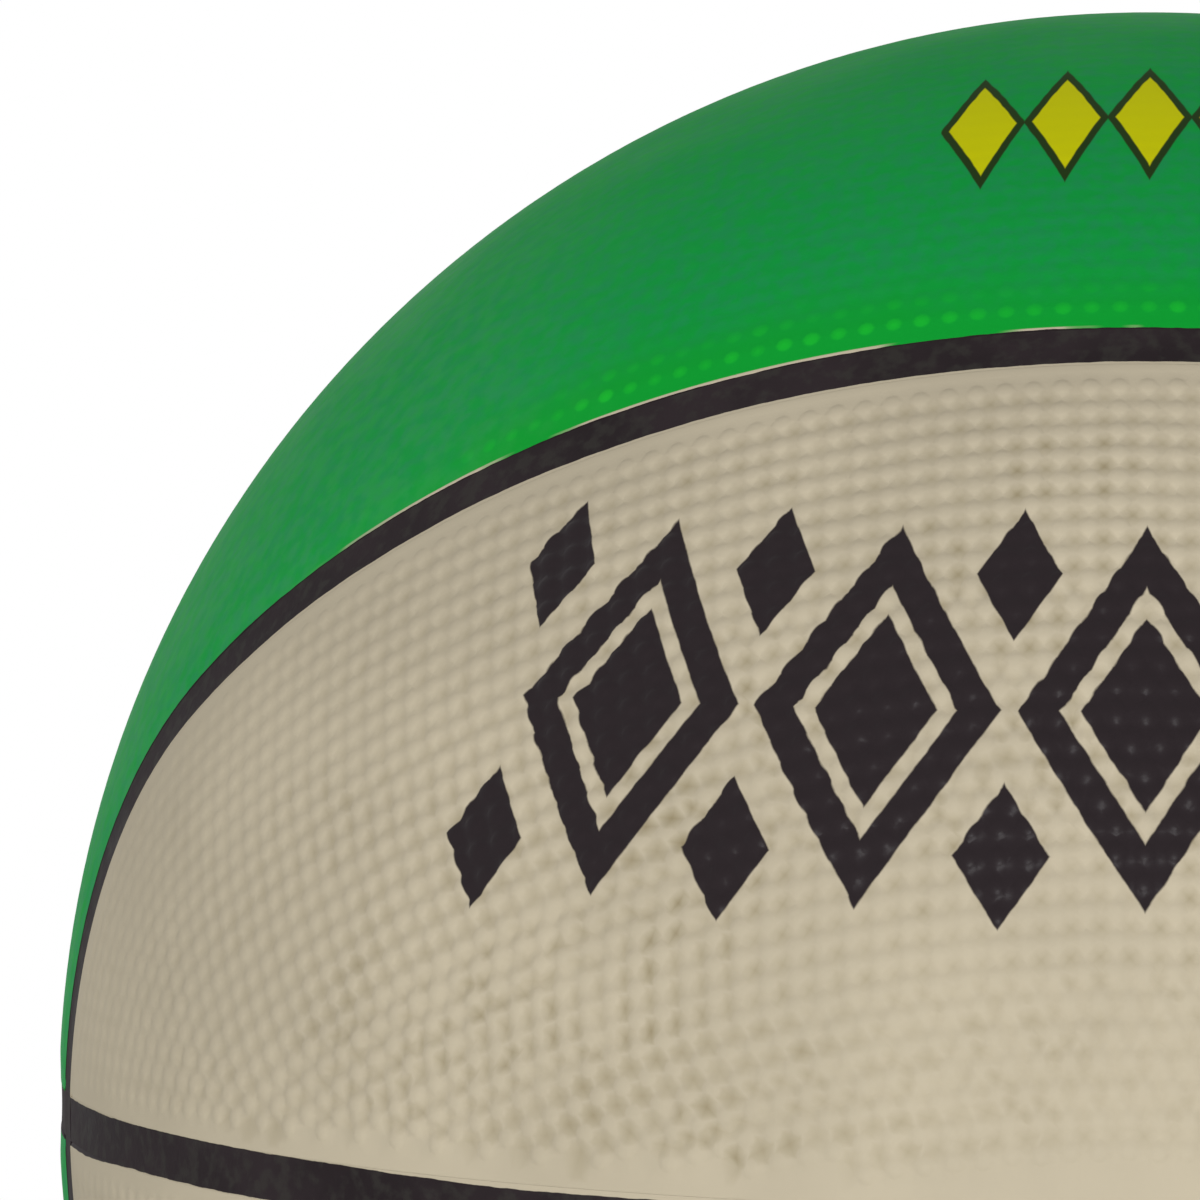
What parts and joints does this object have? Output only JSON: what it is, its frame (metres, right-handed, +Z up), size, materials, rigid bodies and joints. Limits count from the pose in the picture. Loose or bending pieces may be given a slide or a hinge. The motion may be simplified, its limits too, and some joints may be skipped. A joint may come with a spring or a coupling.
{
  "type": "mini basketball",
  "caption": "Small pebbled rubber ball with cream centre panels, green bands between black seams, a wound carcass, an air bladder and a valve with a pull-out plug.",
  "frame": {"origin": "the ball's centre", "axes": "+Z up through the top of the upright seam; -Y through the middle of the front long seam, as the picture looks at it; +X to the right, where the level and upright seams cross"},
  "size_m": [0.1778, 0.178, 0.178],
  "materials": {
    "cream_rubber": "satin, fine pebbles",
    "green_rubber": "satin paint on fine pebbles",
    "black_rubber": "smooth, slightly glossy",
    "nylon_thread": "wound thread in latex",
    "butyl_rubber": "smooth, dusted",
    "valve_rubber": "smooth moulded rubber",
    "plug_rubber": "smooth moulded rubber"
  },
  "bodies": {
    "ball": {"front_upper_panel": "cream_rubber", "front_lower_panel": "cream_rubber", "back_upper_panel": "cream_rubber", "back_lower_panel": "cream_rubber", "top_front_band": "green_rubber", "bottom_front_band": "green_rubber", "top_back_band": "green_rubber", "bottom_back_band": "green_rubber", "upright_seam": "black_rubber", "front_long_seam": "black_rubber", "front_level_seam": "black_rubber", "front_left_level_seam": "black_rubber", "front_right_level_seam": "black_rubber", "back_long_seam": "black_rubber", "back_level_seam": "black_rubber", "back_left_level_seam": "black_rubber", "back_right_level_seam": "black_rubber", "wound_carcass": "nylon_thread", "bladder": "butyl_rubber", "valve_housing": "valve_rubber"},
    "plug": {"valve_plug": "plug_rubber"}
  },
  "joints": [
    {"name": "plug_pull", "type": "slide", "parent": "ball", "child": "plug", "axis": [0, 0.9397, 0.342], "range_m": [0, 0.018]}
  ]
}
